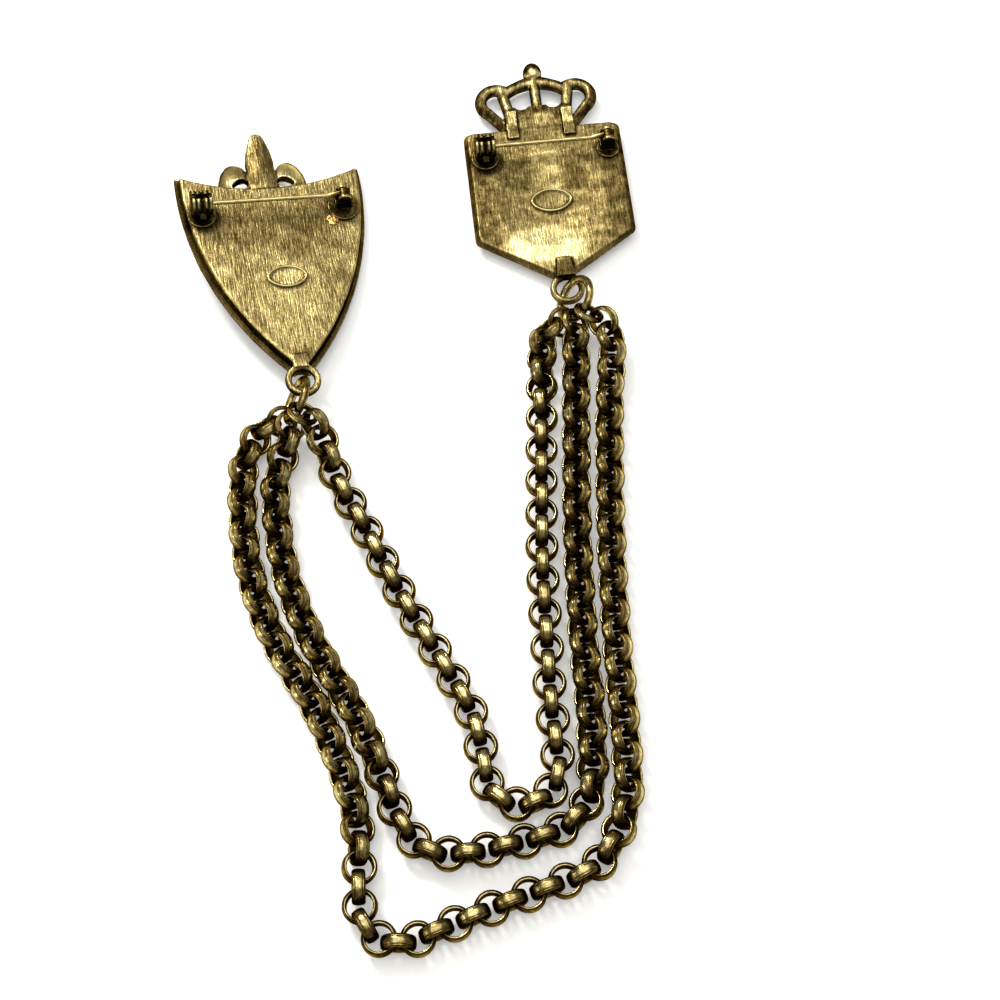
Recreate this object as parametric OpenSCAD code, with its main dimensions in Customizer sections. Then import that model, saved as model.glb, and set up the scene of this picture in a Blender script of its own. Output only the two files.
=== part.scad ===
// Chatelaine brooch: two cast badge brooches, face down, joined by three swagged belcher chains.
// Millimetres, +Z up, origin under the middle of the piece as it lies on a table.

/* [Shield badge] */
// Radius of each curved side of the shield's back
shield_side_r = 62; // [58:1:66]
// Distance of each side's centre of curvature beyond the middle line
shield_side_offset = 44.8; // [44:0.1:45.5]
// Depth of the casting from its back to its front rim
shield_wall = 3.5; // [3:0.1:4]
// Turn of the shield on the table
shield_turn = 11.5; // [5:0.5:15]
// Lean of the shield, left edge up, resting on its right rim
shield_lean = 10; // [8:0.5:11]

/* [Crown badge] */
// Half width of the five-sided back
crown_half_w = 14.7; // [13.5:0.1:15.5]
// Height of the lower side corners above the tip
crown_corner_y = 10.9; // [9:0.1:12]
// Height of the top edge above the tip
crown_top_y = 35.8; // [34:0.1:37]
// Depth of the rim casting
crown_wall = 1.7; // [1.5:0.1:2.2]
// Depth of the plain raised field on the hidden front
crown_field = 2; // [1.6:0.1:2.4]
// Turn of the badge on the table
crown_turn = 6.2; // [3:0.1:9]

/* [Both castings] */
// How far the front rim spreads beyond the back
rim_flare = 0.9; // [0.6:0.1:1.2]
// Hole of the cast loop at each tip
loop_hole_d = 4.2; // [4:0.1:4.4]
// Radial thickness of the cast loop
loop_wall = 1.0; // [0.8:0.1:1.2]

/* [Pins and catches] */
// Diameter of the pin stem
stem_d = 0.84; // [0.7:0.02:0.9]
// Height of the pin above the back of a casting
pin_rise = 3.0; // [2.8:0.1:3.4]
// Diameter of the hinge rivet
rivet_d = 0.9; // [0.8:0.05:1]
// Radial running clearance of the hinge and of the turning catch
running_gap = 0.05; // [0.03:0.01:0.08]

/* [Rings and chains] */
// Outer diameter of the jump rings
ring_od = 9.5; // [9.3:0.1:9.8]
// Wire diameter of the jump rings
ring_wire = 1.4; // [1.2:0.1:1.5]
// Outer diameter of a chain link
link_od = 6.0; // [5.8:0.1:6]
// Radial thickness of a link's band
link_band = 0.72; // [0.66:0.02:0.74]
// Width of a link's band
link_w = 2.3; // [2:0.1:2.3]
// Width of the slim link that ends each strand on its jump ring
end_link_w = 1.2; // [1:0.1:1.4]

/* [Hidden] */
$fn = 64;
gold = "#b89a4a";
old_brass = "#8a7334";

// Middle of the piece's outline, in the frame that the places below are given in
layout_centre = [-18.444, 6.666];

// Shield badge: y runs up from the sharp tip of the back, z from the front rim towards the back
shield_side_y = sqrt(shield_side_r * shield_side_r - shield_side_offset * shield_side_offset);
shield_top_y = 40.8;
shield_top_r = 43;
shield_at = [-36.75, 23.55];
shield_foot = 0.35;
shield_rest = (shield_side_r - shield_side_offset + rim_flare - shield_foot) * sin(shield_lean) + 0.02;
shield_dome_r = 82;
shield_dome = 1.8;
shield_loop = [-0.3, -2.0];
shield_pin_y = 35.9;
shield_hinge_x = 13.2;
shield_catch_x = -14.1;

// Crown badge: y runs up from the sharp tip of the front rim
crown_at = [12.05, 44.2];
crown_loop = [0.7, -1.2];
crown_pin_y = 30.3;
crown_hinge_x = 12.5;
crown_catch_x = -11.8;
crown_axis_x = -0.15;
crown_corner_r = 1.4;

loop_thick = 1.4;
eps = 0.01;

module on_table() {
  translate([-layout_centre[0], -layout_centre[1], 0])
    children();
}

module shield_frame() {
  on_table()
    translate([shield_at[0], shield_at[1], shield_rest])
      rotate([0, shield_lean, shield_turn])
        children();
}

module crown_frame() {
  on_table()
    translate([crown_at[0], crown_at[1], crown_field])
      rotate([0, 0, crown_turn])
        children();
}

// Plain pieces shared by both badges

// A marquise, drawn as two crossing circles
module marquise(w, h) {
  r = (w * w + h * h) / (4 * h);
  intersection() {
    translate([0, r - h / 2])
      circle(r);
    translate([0, h / 2 - r])
      circle(r);
  }
}

// An oval with slightly drawn-out ends
module oval(w, h) {
  sides = 48;
  pull = 0.2;
  polygon([for (i = [0:sides - 1]) let (a = 360 * i / sides)
           [w / 2 * cos(a), h / 2 * sin(a) * pow(abs(sin(a)), pull)]]);
}

// Raised plaque with a thin border, left bare
module plaque(w, h) {
  border = 0.3;
  foot = 0.3;
  difference() {
    translate([0, 0, -foot])
      linear_extrude(foot + 0.5)
        oval(w, h);
    translate([0, 0, 0.22])
      linear_extrude(1)
        oval(w - 3 * border, h - 2 * border);
  }
}

// Cast loop, a ring of eight-sided section
module cast_loop() {
  inner = loop_hole_d / 2;
  outer = inner + loop_wall;
  half = loop_thick / 2;
  soft = 0.3;
  rotate_extrude()
    polygon([[inner, -half + soft], [inner + soft, -half], [outer - soft, -half], [outer, -half + soft],
             [outer, half - soft], [outer - soft, half], [inner + soft, half], [inner, half - soft]]);
}

// Hinge bracket: disc, foot, two ears and the rivet between them, with z = 0 on the casting's back
ear_gap = 1.8;
ear_thick = 0.5;
ear_r = 1.4;
module hinge_bracket(disc_r) {
  translate([0, -0.9, -0.3])
    cylinder(r = disc_r, h = 0.8);
  translate([-ear_r - 0.2, -ear_gap / 2 - ear_thick + 0.1, 0])
    cube([2 * ear_r + 0.4, ear_gap + 2 * ear_thick - 0.2, 1.3]);
  for (side = [-1, 1]) {
    translate([0, side * (ear_gap + ear_thick) / 2, pin_rise])
      rotate([90, 0, 0])
        cylinder(r = ear_r, h = ear_thick, center = true);
    translate([-ear_r, side * (ear_gap + ear_thick) / 2 - ear_thick / 2, 0])
      cube([2 * ear_r, ear_thick, pin_rise]);
  }
  translate([0, 0, pin_rise])
    rotate([90, 0, 0])
      cylinder(d = rivet_d, h = ear_gap + 2 * ear_thick - 0.1, center = true);
}

// A round bar along X
module bar(r, length) {
  rotate([0, 90, 0])
    cylinder(r = r, h = length, center = true);
}

// Safety catch: two slotted cheeks on a strip and a disc. The slot faces up and lets the pin out, which
// lies in the lower part of the roller's bore.
cheek_r = 2.35;
cheek_bore = 1.38;
cheek_w = 0.7;
cheek_x = 1.6;
pin_drop = 0.4;
catch_rise = pin_rise + pin_drop;
module pin_slot() {
  slot_w = stem_d + 0.3;
  slot_h = 3;
  translate([-cheek_x - cheek_w, -slot_w / 2, 0])
    cube([2 * (cheek_x + cheek_w), slot_w, slot_h]);
}

module catch_cheeks() {
  strip = 1.8;
  translate([0, -0.8, -0.3])
    cylinder(r = 2.7, h = 0.8);
  translate([-cheek_x - cheek_w / 2, -strip / 2, 0])
    cube([2 * cheek_x + cheek_w, strip, 1.0]);
  for (side = [-1, 1])
    translate([side * cheek_x, 0, catch_rise])
      difference() {
        union() {
          bar(cheek_r, cheek_w);
          translate([-cheek_w / 2, -strip / 2, -catch_rise + 0.5])
            cube([cheek_w, strip, catch_rise - 1.5]);
        }
        bar(cheek_bore, 2);
        pin_slot();
      }
}

// Turning roller of the catch, with two ribs and a thumb tab, shown unlocked. Its own axis is X.
roller_r = cheek_bore - running_gap;
roller_bore = stem_d / 2 + pin_drop + 0.07;
tab_angle = -112;
module catch_roller() {
  rib_r = 2.2;
  between = 2 * cheek_x - cheek_w - 0.2;
  rib_w = between / 2 - 0.25;
  tab = [1.2, 0.6, 1.9];
  difference() {
    union() {
      bar(roller_r, 2 * cheek_x + cheek_w + 0.1);
      bar(rib_r - 0.3, between);
      for (side = [-1, 1])
        translate([side * (between - rib_w) / 2, 0, 0])
          bar(rib_r, rib_w);
    }
    bar(roller_bore, 8);
    pin_slot();
  }
  rotate([-tab_angle, 0, 0])
    translate([-tab[0] / 2, -tab[1] / 2, 1.45])
      cube(tab);
}

// Pin with its eye at the origin and its stem along -X. The wire rises to meet the eye.
eye_r = 1.2;
pin_over = 1.7;
eye_w = 1.5;
module pin_wire(length) {
  bend_x = 3.0;
  rise = 0.75;
  run = bend_x - 0.7;
  lap = 0.15;
  taper = 5;
  tip_r = 0.15;
  straight = length - bend_x + lap;
  difference() {
    union() {
      rotate([90, 0, 0])
        cylinder(r = eye_r, h = eye_w, center = true);
      translate([-bend_x, 0, 0])
        rotate([0, 90 - atan(rise / run), 0])
          translate([0, 0, -lap])
            cylinder(d = stem_d + 0.06, h = run + lap);
    }
    rotate([90, 0, 0])
      cylinder(d = rivet_d + 2 * running_gap, h = 5, center = true);
  }
  translate([-length, 0, 0])
    rotate([0, 90, 0])
      rotate_extrude()
        polygon([[0, 0], [tip_r, 0], [stem_d / 2, taper], [stem_d / 2, straight], [0, straight]]);
}

// Shield badge

// One layer of the shield between two heights, spread beyond the back's outline by two amounts.
// Two crossing cones make the curved sides, a third one the hollow top edge.
module shield_layer(spread0, spread1, z0, z1) {
  difference() {
    intersection_for(side = [-1, 1])
      translate([side * shield_side_offset, shield_side_y, z0])
        cylinder(r1 = shield_side_r + spread0, r2 = shield_side_r + spread1, h = z1 - z0, $fn = 180);
    translate([0, shield_top_y + shield_top_r, z0])
      cylinder(r1 = shield_top_r - spread0, r2 = shield_top_r - spread1, h = z1 - z0, $fn = 180);
  }
}

// Rim with a rounded front flange, a nearly upright wall and a broken edge round the back
module shield_plate() {
  flange = 1.1;
  bevel = 0.5;
  broken = 0.25;
  shield_layer(rim_flare - shield_foot, rim_flare, 0, shield_foot);
  shield_layer(rim_flare, rim_flare, shield_foot, flange);
  shield_layer(rim_flare, broken, flange, flange + bevel);
  shield_layer(broken, 0, flange + bevel, shield_wall - broken);
  shield_layer(0, -broken, shield_wall - broken, shield_wall);
}

// Fleur-de-lis: a pillow-shaped middle leaf, and two side leaves that curl over a slit
fleur_x = -1.2;
fleur_top = 3.1;
// Discs that shape the middle leaf. Columns: distance from the middle, height, radius
middle_leaf = [
  [0, 41, 1.9],
  [0, 47.4, 2.75],
  [0, 49.6, 2.45],
  [0, 52.6, 1.5]];
// Discs that shape each side leaf, in the same columns
side_leaf = [
  [5.9, 43.45, 3.4],
  [2.2, 43.6, 1.9],
  [2.2, 41.5, 1.9]];
slit_at = [3.95, 42.6];
slit_turn = 10;
slit_size = [4.5, 2.2];

module leaf(thick) {
  translate([0, 0, fleur_top - thick])
    linear_extrude(thick)
      children();
}

module rounded_by(discs, side) {
  hull()
    for (disc = discs)
      translate([side * disc[0], disc[1]])
        circle(disc[2]);
}

module fleur() {
  pillow_r = 4.6;
  curl_r = 5.2;
  curl_at = [4.6, 43];
  translate([fleur_x, 0, 0]) {
    intersection() {
      leaf(2.4)
        rounded_by(middle_leaf, 1);
      translate([0, 60, fleur_top - pillow_r])
        rotate([90, 0, 0])
          cylinder(r = pillow_r, h = 30, $fn = 128);
    }
    for (side = [-1, 1])
      intersection() {
        leaf(2.2)
          difference() {
            rounded_by(side_leaf, side);
            translate([side * slit_at[0], slit_at[1]])
              rotate(-side * slit_turn)
                marquise(slit_size[0], slit_size[1]);
          }
        translate([side * curl_at[0], curl_at[1], fleur_top - 0.1 - curl_r])
          sphere(curl_r, $fn = 128);
      }
  }
}

module shield_casting() {
  shield_plate();
  fleur();
  intersection() {
    shield_layer(-0.7, -0.7, -shield_dome - 1, 0.5);
    translate([0, 24, shield_dome_r - shield_dome])
      sphere(shield_dome_r, $fn = 180);
  }
  translate([0, 20, shield_wall])
    plaque(7.5, 4.6);
}

module shield_body() {
  loop_z = shield_wall - loop_thick / 2 - 0.2;
  color(gold)
    shield_frame() {
      difference() {
        shield_casting();
        translate([shield_loop[0], shield_loop[1], -3])
          cylinder(d = loop_hole_d + 1, h = 9);
      }
      translate([shield_loop[0], shield_loop[1], loop_z])
        cast_loop();
      translate([shield_loop[0] - 1.4, 0.5, shield_wall - 1])
        cube([2.8, 2.6, 1.15]);
      translate([shield_hinge_x, shield_pin_y, shield_wall])
        hinge_bracket(3);
      translate([shield_catch_x, shield_pin_y, shield_wall])
        catch_cheeks();
    }
}

module shield_pin() {
  color(gold)
    shield_frame()
      translate([shield_hinge_x, shield_pin_y, shield_wall + pin_rise])
        pin_wire(shield_hinge_x - shield_catch_x + pin_over);
}

module shield_catch_lever() {
  color(old_brass)
    shield_frame()
      translate([shield_catch_x, shield_pin_y, shield_wall + catch_rise])
        catch_roller();
}

// Crown badge

// One height of the five-sided outline, with round corners
module five_sides(grow, z) {
  reach = crown_half_w + grow - crown_corner_r;
  corners = [[-reach, crown_top_y + grow * 0.6 - crown_corner_r], [reach, crown_top_y + grow * 0.6 - crown_corner_r],
             [reach, crown_corner_y + 0.6], [-reach, crown_corner_y + 0.6], [0, 3.0 - grow]];
  for (c = corners)
    translate([c[0], c[1], z])
      cylinder(r = crown_corner_r, h = 0.1, $fn = 32);
}

module crown_plate() {
  hull() {
    five_sides(rim_flare, 0);
    five_sides(rim_flare, 0.5);
    five_sides(0, crown_wall - 0.1);
  }
  hull() {
    five_sides(-2.4, -crown_field);
    five_sides(-1.2, 0);
  }
}

// Pierced crown: round wires for the arches and struts, on a flat base with two raised bars
arch_wire = 1.2;
arch_z = 0.25;
arch_y = 38.3;
arch_r = 9.5;
arch_span = [50, 130];
lobe_x = 7.95;
lobe_y = 43.75;
lobe_r = 3.15;
lobe_span = [-58, 128];
// Straight wires on each side. Columns: lower x, y, upper x, y, wire radius, height of its middle
side_struts = [
  [5.2, 35.2, 9.8, 41.2, 1.15, 0.21],
  [5.5, 39.6, 6.8, 46.6, 1.15, 0.33]];

// A bow of round wire about a centre, from one angle to another
module bow(x, y, r, from, to) {
  translate([x, y, arch_z])
    rotate([0, 0, from])
      rotate_extrude(angle = to - from)
        translate([r, 0])
          circle(arch_wire, $fn = 32);
}

// A straight round wire between two places
module strut(a, b, wire, z) {
  way = b - a;
  translate([a[0], a[1], z])
    rotate([0, 90, atan2(way[1], way[0])])
      cylinder(r = wire, h = norm(way), $fn = 32);
}

module crown_base() {
  half_w = 6.1;
  foot_y = 33.6;
  top_y = 41.6;
  top_z = 1.5;
  bottom_z = -0.6;
  notch_at = [3.2, 42.6];
  notch_r = 1.75;
  corner = [0.9, 1.6];
  translate([0, 0, bottom_z])
    linear_extrude(top_z - bottom_z)
      difference() {
        translate([-half_w, foot_y])
          square([2 * half_w, top_y - foot_y]);
        for (side = [-1, 1]) {
          translate([side * notch_at[0], notch_at[1]])
            circle(notch_r);
          polygon([[side * (half_w + 1), top_y - corner[1]], [side * (half_w - corner[0]), top_y - 0.2],
                   [side * (half_w - corner[0]), top_y + 1], [side * (half_w + 1), top_y + 1]]);
        }
      }
}

module crown_ornament() {
  bead_y = 50.1;
  bead_w = 1.7;
  bead_h = 2.15;
  bar_x = 5.6;
  bar_w = 2.3;
  bar_y = 33.5;
  bar_l = 6.6;
  post = [39.8, 48.2];
  post_wire = 1.12;
  translate([crown_axis_x, 0, 0]) {
    crown_base();
    bow(0, arch_y, arch_r, arch_span[0], arch_span[1]);
    strut([0, post[0]], [0, post[1]], post_wire, arch_z + 0.15);
    for (side = [-1, 1]) {
      if (side > 0)
        bow(lobe_x, lobe_y, lobe_r, lobe_span[0], lobe_span[1]);
      else
        bow(-lobe_x, lobe_y, lobe_r, 180 - lobe_span[1], 180 - lobe_span[0]);
      for (s = side_struts)
        strut([side * s[0], s[1]], [side * s[2], s[3]], s[4], s[5]);
      translate([side * bar_x - bar_w / 2, bar_y, 0])
        cube([bar_w, bar_l, crown_wall + 0.7]);
    }
    translate([0, bead_y, arch_z + 0.2])
      rotate([-90, 0, 0])
        rotate_extrude()
          polygon([for (i = [0:12]) [bead_w * sin(15 * i), -bead_h * cos(15 * i)]]);
  }
}

module crown_body() {
  dish_r = 110;
  dish_depth = 0.55;
  loop_z = crown_wall - loop_thick / 2 - 0.25;
  color(gold)
    crown_frame() {
      difference() {
        crown_plate();
        translate([0, 19, crown_wall + dish_r - dish_depth])
          sphere(dish_r, $fn = 180);
        translate([crown_loop[0], crown_loop[1], -4])
          cylinder(d = loop_hole_d + 1, h = 9);
      }
      crown_ornament();
      translate([0, 18.6, crown_wall - dish_depth + 0.1])
        plaque(7.9, 5.1);
      translate([crown_loop[0], 0, crown_wall - 1])
        linear_extrude(1.5)
          polygon([[-1.8, 1.1], [1.8, 1.1], [1.35, 5.1], [-1.35, 5.1]]);
      translate([crown_loop[0], crown_loop[1], loop_z])
        cast_loop();
      translate([crown_hinge_x, crown_pin_y, crown_wall])
        hinge_bracket(2.2);
      translate([crown_catch_x, crown_pin_y, crown_wall])
        catch_cheeks();
    }
}

module crown_pin() {
  color(gold)
    crown_frame()
      translate([crown_hinge_x, crown_pin_y, crown_wall + pin_rise])
        pin_wire(crown_hinge_x - crown_catch_x + pin_over);
}

module crown_catch_lever() {
  color(old_brass)
    crown_frame()
      translate([crown_catch_x, crown_pin_y, crown_wall + catch_rise])
        catch_roller();
}

// Jump rings

// Columns: middle x, y, z, then the turn about Z and the slope of the ring's plane, right side up
shield_ring = [-37.3, 17.9, 4.9, -10, 62];
crown_ring = [14.2, 39.9, 4.2, 0, 50];

module jump_ring(ring) {
  on_table()
    translate([ring[0], ring[1], ring[2]])
      rotate([0, -ring[4], ring[3]])
        rotate_extrude()
          translate([(ring_od - ring_wire) / 2, 0])
            circle(d = ring_wire, $fn = 32);
}

module shield_jump_ring() {
  color(gold)
    jump_ring(shield_ring);
}

module crown_jump_ring() {
  color(gold)
    jump_ring(crown_ring);
}

// Chains

// Place of a strand's end link: its hole is pulled against a ring's wire, at an angle round the ring's
// plane (270 is the lower end), by the strand that leaves towards the next place
hook_reach = 1.15;
function ring_u(ring) = [cos(ring[4]) * cos(ring[3]), cos(ring[4]) * sin(ring[3]), sin(ring[4])];
function ring_v(ring) = [-sin(ring[3]), cos(ring[3]), 0];
function wire_place(ring, angle) =
  [ring[0], ring[1], ring[2]] + (ring_od - ring_wire) / 2 * (cos(angle) * ring_u(ring) + sin(angle) * ring_v(ring));
function hooked(ring, angle, next, roll) =
  let (wire = wire_place(ring, angle), p = wire + hook_reach * unit(next - wire))
  [p[0], p[1], p[2], roll];

// Routes of the strands. Columns: x, y, height of the links' middle, roll of the even links
low = link_od / 2 + 0.1;
inner_route = [
  hooked(shield_ring, 312, [-33.2, 11.3, 7.3], 35),
  [-33.2, 11.3, 7.3, 30],
  [-31, 6.4, 5.4, 20],
  [-28.8, 1, 3.6, 8],
  [-25.2, -5, low, 0],
  [-17, -20.5, low, 0],
  [-9, -34, low, 0],
  [-4.6, -42.2, low, 0],
  [-2.7, -50.4, low, 0],
  [-1.9, -54.4, low, 0],
  [1.2, -57.1, low, 0],
  [5.2, -57.3, low, 0],
  [8.6, -55.0, low, 0],
  [9.8, -51.1, low, 0],
  [9.2, -44.5, low, 0],
  [8.6, -38, low, 0],
  [8.1, -28, low, 0],
  [7.5, -14, low, 0],
  [7.5, 2, low, 0],
  [7.7, 16, low, 10],
  [7.8, 25, low, 30],
  [8, 31, low, 45],
  [9.4, 34.2, 2.9, 52],
  hooked(crown_ring, 235, [9.4, 34.2, 2.7], 55)];
middle_route = [
  hooked(shield_ring, 270, [-38.5, 9.5, 4.5], 30),
  [-38.5, 9.5, 4.5, 35],
  [-40, 4.4, 3.4, 42],
  [-40.4, -1.4, low, 45],
  [-38, -15, low, 45],
  [-32.8, -28, low, 45],
  [-24.8, -41.5, low, 42],
  [-20, -52, low, 20],
  [-17.2, -59, low, 5],
  [-13, -64.6, low, 0],
  [-6.4, -65.8, low, 0],
  [4.6, -63.6, low, 0],
  [11.4, -61, low, 5],
  [15.1, -55.8, low, 20],
  [15.6, -49.6, low, 38],
  [15.4, -40, low, 45],
  [14.4, -26, low, 45],
  [13.8, -7, low, 45],
  [14, 14, low, 45],
  [14.2, 26, 3.4, 47],
  [14.2, 31, 3.8, 50],
  hooked(crown_ring, 270, [14.2, 31, 3.8], 50)];
outer_route = [
  hooked(shield_ring, 225, [-43, 13.2, 2.7], 38),
  [-43, 13.2, 2.9, 40],
  [-45.8, 8, low, 43],
  [-46.5, 1.6, low, 45],
  [-44.8, -13, low, 45],
  [-39.8, -27, low, 45],
  [-30.8, -42, low, 45],
  [-24.6, -57, low, 40],
  [-23.2, -67, low, 15],
  [-23, -73.6, low, 0],
  [-21, -78.8, low, 0],
  [-15.8, -80.4, low, 0],
  [-9, -78, low, 0],
  [0, -74.3, low, 0],
  [9, -71, low, 0],
  [15.6, -68, low, 5],
  [19.4, -62.6, low, 20],
  [21.4, -55.4, low, 38],
  [21.3, -45, low, 45],
  [20.2, -26, low, 45],
  [19.8, -7, low, 45],
  [20.1, 14, low, 45],
  [20.5, 23, 3.6, 47],
  [20.9, 28.6, 4.8, 50],
  [19.8, 33.4, 5.8, 50],
  hooked(crown_ring, 305, [19.8, 33.4, 5.8], 50)];
inner_links = 58;
middle_links = 66;
outer_links = 78;

route_steps = 12;
function along(a, b, c, d, t) =
  0.5 * (2 * b + (c - a) * t + (2 * a - 5 * b + 4 * c - d) * t * t + (3 * b - a - 3 * c + d) * t * t * t);
function smooth(route) =
  let (last = len(route) - 1)
  concat([for (i = [0:last - 1], k = [0:route_steps - 1])
          along(route[max(i - 1, 0)], route[i], route[i + 1], route[min(i + 2, last)], k / route_steps)],
         [route[last]]);
function place(p) = [p[0], p[1], p[2]];
function unit(v) = v / norm(v);
function lengths(points) =
  [for (i = 0, s = 0; i < len(points);
        s = s + (i + 1 < len(points) ? norm(place(points[i + 1]) - place(points[i])) : 0), i = i + 1) s];
function stretch(runs, s) = max([for (i = [0:len(runs) - 2]) runs[i] <= s + eps ? i : 0]);
function at_length(points, runs, s) =
  let (i = stretch(runs, s), t = (s - runs[i]) / (runs[i + 1] - runs[i]))
  points[i] * (1 - t) + points[i + 1] * t;
function link_points(route, count) =
  let (points = smooth(route), runs = lengths(points), whole = runs[len(runs) - 1])
  [for (i = [0:count - 1]) at_length(points, runs, whole * i / (count - 1))];

// One link: a round band with a bevelled outside and softened inner edges
module link(w) {
  outer = link_od / 2;
  inner = outer - link_band;
  half = w / 2;
  bevel = 0.55 * half;
  soft = 0.32;
  rotate_extrude($fn = 32)
    polygon([[inner, -half + soft], [inner + 0.22, -half], [outer - 0.3, -half], [outer, -half + bevel],
             [outer, half - bevel], [outer - 0.3, half], [inner + 0.22, half], [inner, half - soft]]);
}

module strand(route, count) {
  points = link_points(route, count);
  on_table()
    for (i = [0:count - 1]) {
      p = place(points[i]);
      run = unit(place(points[min(i + 1, count - 1)]) - place(points[max(i - 1, 0)]));
      roll = points[i][3] + 90 * (i % 2);
      side = unit(cross([0, 0, 1], run));
      axis = cos(roll) * cross(run, side) + sin(roll) * side;
      across = cross(axis, run);
      multmatrix([[run[0], across[0], axis[0], p[0]],
                  [run[1], across[1], axis[1], p[1]],
                  [run[2], across[2], axis[2], p[2]],
                  [0, 0, 0, 1]])
        link(i == 0 || i == count - 1 ? end_link_w : link_w);
    }
}

module chain_inner() {
  color(gold)
    strand(inner_route, inner_links);
}

module chain_middle() {
  color(gold)
    strand(middle_route, middle_links);
}

module chain_outer() {
  color(gold)
    strand(outer_route, outer_links);
}

shield_body();
shield_pin();
shield_catch_lever();
shield_jump_ring();
crown_body();
crown_pin();
crown_catch_lever();
crown_jump_ring();
chain_inner();
chain_middle();
chain_outer();
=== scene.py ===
import math
import random

import bmesh
import bpy
import numpy as np
from mathutils import Matrix, Vector, noise


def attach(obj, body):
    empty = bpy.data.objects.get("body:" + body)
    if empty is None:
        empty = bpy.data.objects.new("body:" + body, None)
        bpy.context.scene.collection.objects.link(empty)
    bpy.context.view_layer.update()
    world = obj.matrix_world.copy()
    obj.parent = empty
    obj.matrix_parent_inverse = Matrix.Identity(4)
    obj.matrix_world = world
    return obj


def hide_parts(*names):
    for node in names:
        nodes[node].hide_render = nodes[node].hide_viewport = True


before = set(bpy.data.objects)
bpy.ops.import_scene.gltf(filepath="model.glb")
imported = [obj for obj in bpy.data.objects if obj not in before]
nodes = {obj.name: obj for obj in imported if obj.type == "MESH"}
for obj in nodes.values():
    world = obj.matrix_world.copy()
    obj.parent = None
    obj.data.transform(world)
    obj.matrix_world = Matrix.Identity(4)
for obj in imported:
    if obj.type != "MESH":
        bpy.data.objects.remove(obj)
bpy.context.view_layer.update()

# Everything is in metres, in the CAD's frame: the piece lies on z = 0, backs up, chains towards -Y
MM = 0.001
scene = bpy.context.scene
ROOT = "badges_and_chains"

# Pin findings, in millimetres: half the catch's width, how far its disc and cheeks reach down and up the
# badge, how far the middle of the hinge's disc lies below the rivet, and a height that clears them all
CATCH_HALF = 2.75
CATCH_DOWN = 3.6
CATCH_UP = 2.4
DISC_DROP = 0.9
FINDING_HEIGHT = 7
# Room between the hinge's disc and the box that cuts it out
BOX_GAP = 0.05
# Heights of the hinge's rivet and of the catch's barrel above the back
PIN_RISE = 3.0
CATCH_RISE = 3.4


class Badge:
    """Where one badge lies. Its own x runs across it, y up from its tip and z out of its back, in
    millimetres. The back is a height, the catch and the hinge are places, and hinge_disc is a radius."""

    def __init__(self, place_mm, lean, turn, back=0.0, catch=(0, 0), hinge=(0, 0), hinge_disc=0.0):
        self.place = Vector(place_mm) * MM
        self.angles = (0.0, math.radians(lean), math.radians(turn))
        spin = Matrix.Rotation(self.angles[2], 4, "Z") @ Matrix.Rotation(self.angles[1], 4, "Y")
        self.matrix = Matrix.Translation(self.place) @ spin
        self.back = back
        self.catch = catch
        self.hinge = hinge
        self.hinge_disc = hinge_disc

    def at(self, x, y, z):
        """A point of the badge in the part's frame."""
        return self.matrix @ (Vector((x, y, z)) * MM)

    def local(self, points):
        """Points of the part's frame in the badge's millimetres."""
        inverse = np.array(self.matrix.inverted())
        return (points @ inverse[:3, :3].T + inverse[:3, 3]) / MM

    def findings(self, above):
        """Boxes round the catch and the hinge, with their discs, from a height above the back."""
        (cx, cy), (hx, hy) = self.catch, self.hinge
        disc = self.hinge_disc + BOX_GAP
        low, high = self.back + above, self.back + FINDING_HEIGHT
        return {"catch": ((cx - CATCH_HALF, cy - CATCH_DOWN, low), (cx + CATCH_HALF, cy + CATCH_UP, high)),
                "hinge": ((hx - disc, hy - DISC_DROP - disc, low), (hx + disc, hy + disc, high))}


SHIELD = Badge((-18.306, 16.884, 3.102), lean=10, turn=11.5, back=3.5, catch=(-14.1, 35.9),
               hinge=(13.2, 35.9), hinge_disc=3.0)
CROWN = Badge((30.494, 37.534, 2.0), lean=0, turn=6.2, back=1.7, catch=(-11.8, 30.3),
              hinge=(12.5, 30.3), hinge_disc=2.2)
# The part's own frame, for what isn't on a badge
LYING = Badge((0, 0, 0), lean=0, turn=0)


# Camera, light and table

# Where the photograph's camera looks and stands, and its lens
AIM = Vector((18.444, -6.666, 0)) * MM
EYE = Vector((18.444, -146.129, 299.082)) * MM
FOCAL_PIXELS = 1815
IMAGE_PIXELS = 1000
SENSOR_MM = 36

# A broad ceiling that lights the backs evenly, a small window beyond the badges that glints on metal, and
# a weak lamp at the left. Columns: name, place and side in metres, watts, colour
SOFTBOXES = [
    ("ceiling", (0.0, 0.15, 1.1), 1.3, 9.5, "#ffffff"),
    ("window", (-0.4, 0.6, 0.75), 0.22, 6.0, "#fffaf0"),
    ("side", (-0.9, -0.3, 0.35), 0.3, 1.5, "#fff8ee"),
]
# The pale room that the metal mirrors
ROOM = "#e4e1da"
ROOM_STRENGTH = 0.5
# Half the side of the table top in metres
TABLE_HALF = 1.5


def photograph_camera():
    data = bpy.data.cameras.new("camera")
    data.sensor_width = SENSOR_MM
    data.lens = SENSOR_MM * FOCAL_PIXELS / IMAGE_PIXELS
    data.clip_start = 0.01
    camera = bpy.data.objects.new("camera", data)
    camera.location = EYE
    camera.rotation_euler = (AIM - EYE).to_track_quat("-Z", "Y").to_euler()
    scene.collection.objects.link(camera)
    scene.camera = camera


def softbox(name, place, size, watts, colour):
    """A square soft light that faces the piece."""
    data = bpy.data.lights.new(name, "AREA")
    data.shape = "SQUARE"
    data.size = size
    data.energy = watts
    data.color = linear(colour)[:3]
    light = bpy.data.objects.new(name, data)
    light.location = place
    light.rotation_euler = (Vector((0, 0, 0)) - Vector(place)).to_track_quat("-Z", "Y").to_euler()
    scene.collection.objects.link(light)


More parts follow.
